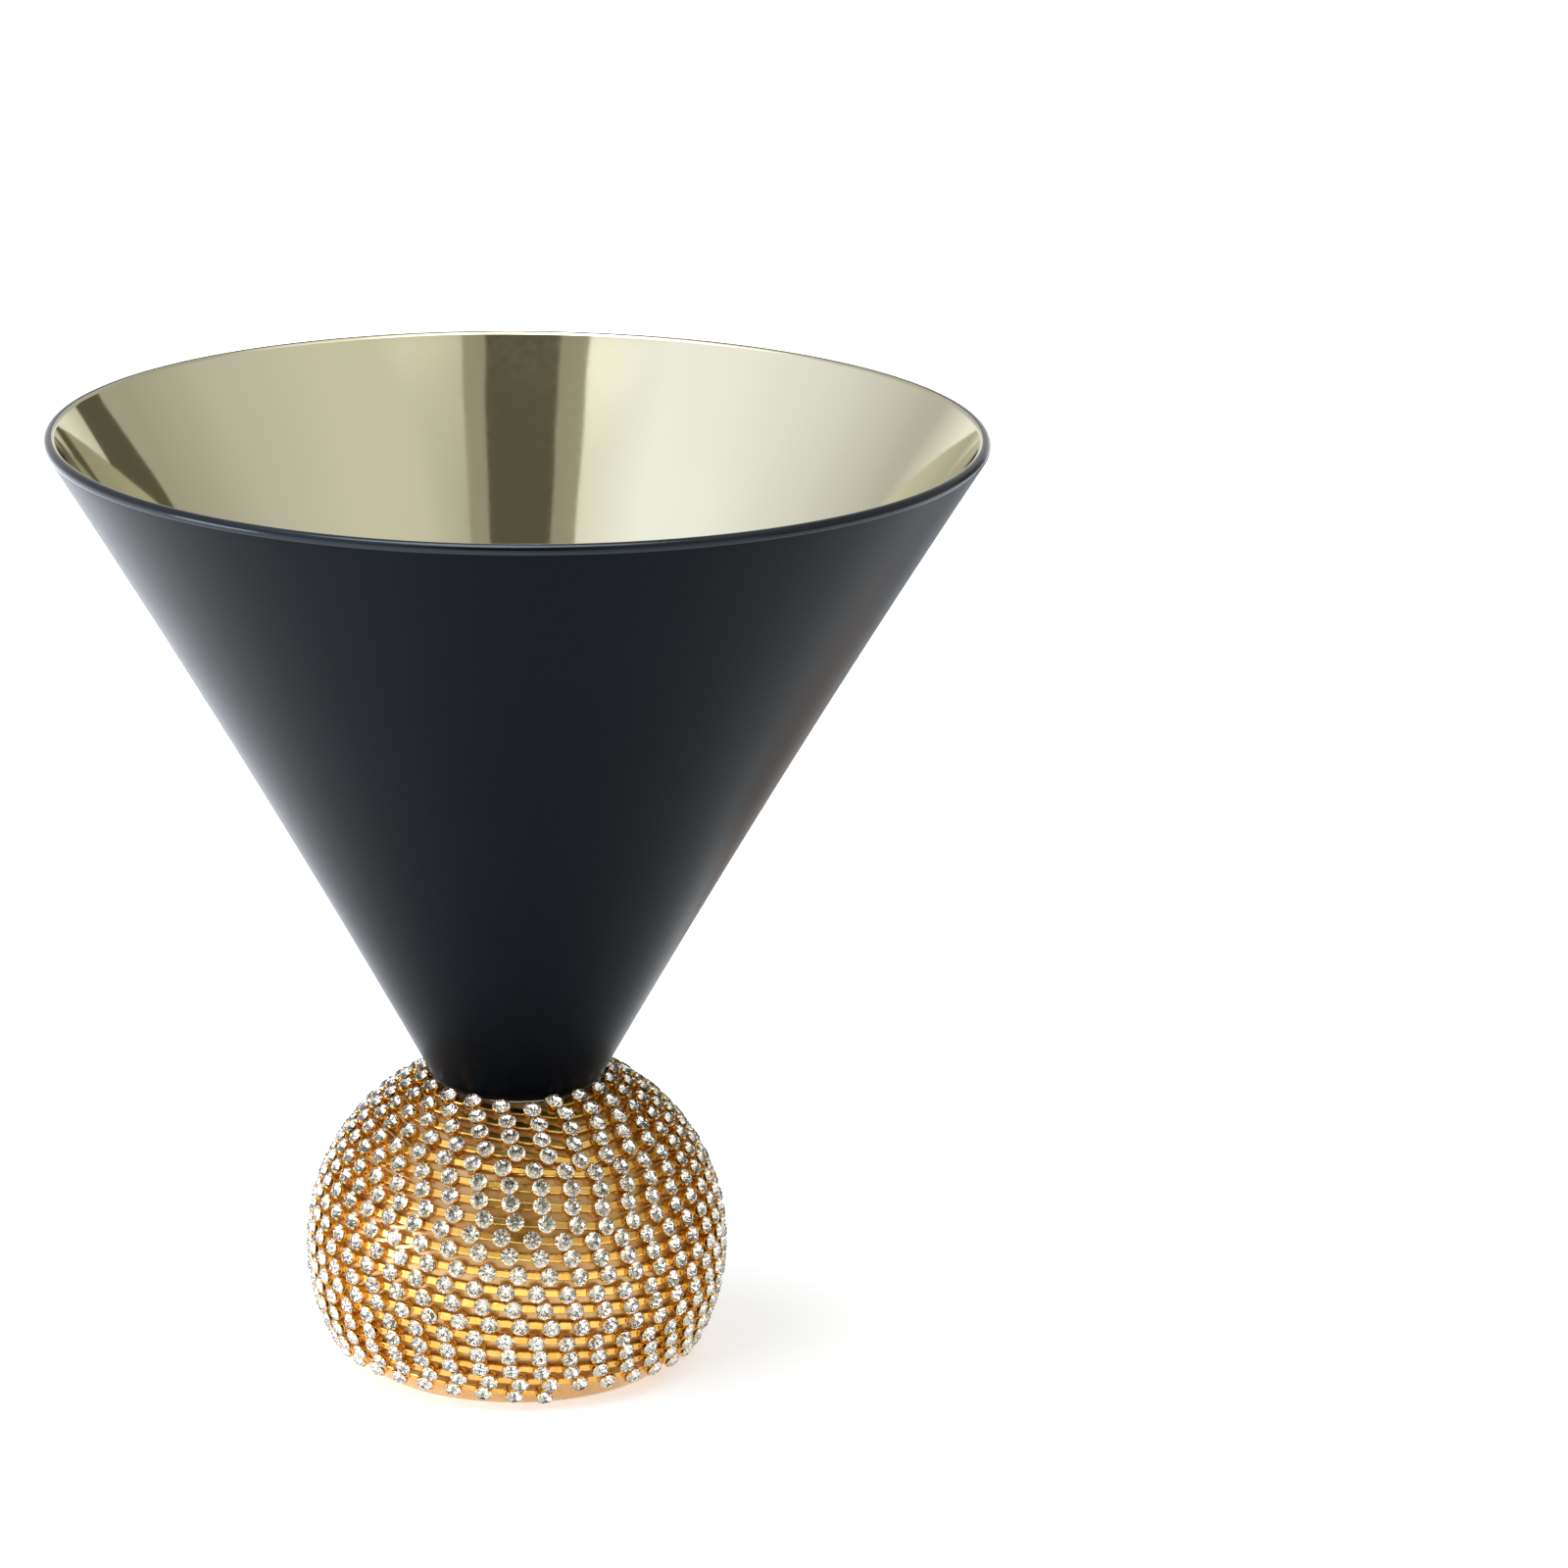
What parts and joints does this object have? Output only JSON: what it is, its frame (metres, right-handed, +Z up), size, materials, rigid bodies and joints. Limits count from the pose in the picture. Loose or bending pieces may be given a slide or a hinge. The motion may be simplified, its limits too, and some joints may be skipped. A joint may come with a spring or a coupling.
{
  "type": "martini glass",
  "caption": "Cone-shaped black martini glass with a mirror-gold inside, on a glass ball base wound with crystal cup chain.",
  "frame": {"origin": "centre of the resting face of the ball", "axes": "+Z up along the glass's axis of revolution, -Y towards the front, where the chain's seam is"},
  "size_m": [0.114, 0.114, 0.1182],
  "materials": {
    "clear_glass": "clear, polished",
    "black_coat": "satin sprayed lacquer, slightly blue black",
    "gold_mirror": "electroplated pale gold, mirror bright",
    "clear_bond": "clear cured adhesive",
    "gold_lacquer": "smooth gold lacquer, semi-gloss",
    "crystal": "faceted, foil-backed, brilliant",
    "gold_metal": "gold-plated, bright"
  },
  "bodies": {
    "root": {"bowl_glass": "clear_glass", "outer_coat": "black_coat", "inner_lining": "gold_mirror", "foot_bond": "clear_bond", "ball_glass": "clear_glass", "ball_coat": "gold_lacquer", "crystals_turn_01": "crystal", "crystals_turn_02": "crystal", "crystals_turn_03": "crystal", "crystals_turn_04": "crystal", "crystals_turn_05": "crystal", "crystals_turn_06": "crystal", "crystals_turn_07": "crystal", "crystals_turn_08": "crystal", "crystals_turn_09": "crystal", "crystals_turn_10": "crystal", "crystals_turn_11": "crystal", "crystals_turn_12": "crystal", "crystals_turn_13": "crystal", "crystals_turn_14": "crystal", "crystals_turn_15": "crystal", "crystals_turn_16": "crystal", "crystals_turn_17": "crystal", "crystals_turn_18": "crystal", "crystals_turn_19": "crystal", "cups_turn_01": "gold_metal", "cups_turn_02": "gold_metal", "cups_turn_03": "gold_metal", "cups_turn_04": "gold_metal", "cups_turn_05": "gold_metal", "cups_turn_06": "gold_metal", "cups_turn_07": "gold_metal", "cups_turn_08": "gold_metal", "cups_turn_09": "gold_metal", "cups_turn_10": "gold_metal", "cups_turn_11": "gold_metal", "cups_turn_12": "gold_metal", "cups_turn_13": "gold_metal", "cups_turn_14": "gold_metal", "cups_turn_15": "gold_metal", "cups_turn_16": "gold_metal", "cups_turn_17": "gold_metal", "cups_turn_18": "gold_metal", "cups_turn_19": "gold_metal", "links_band_01": "gold_metal", "links_band_02": "gold_metal", "links_band_03": "gold_metal", "links_band_04": "gold_metal", "links_band_05": "gold_metal", "links_band_06": "gold_metal", "links_band_07": "gold_metal", "links_band_08": "gold_metal", "links_band_09": "gold_metal", "links_band_10": "gold_metal"}
  },
  "joints": []
}
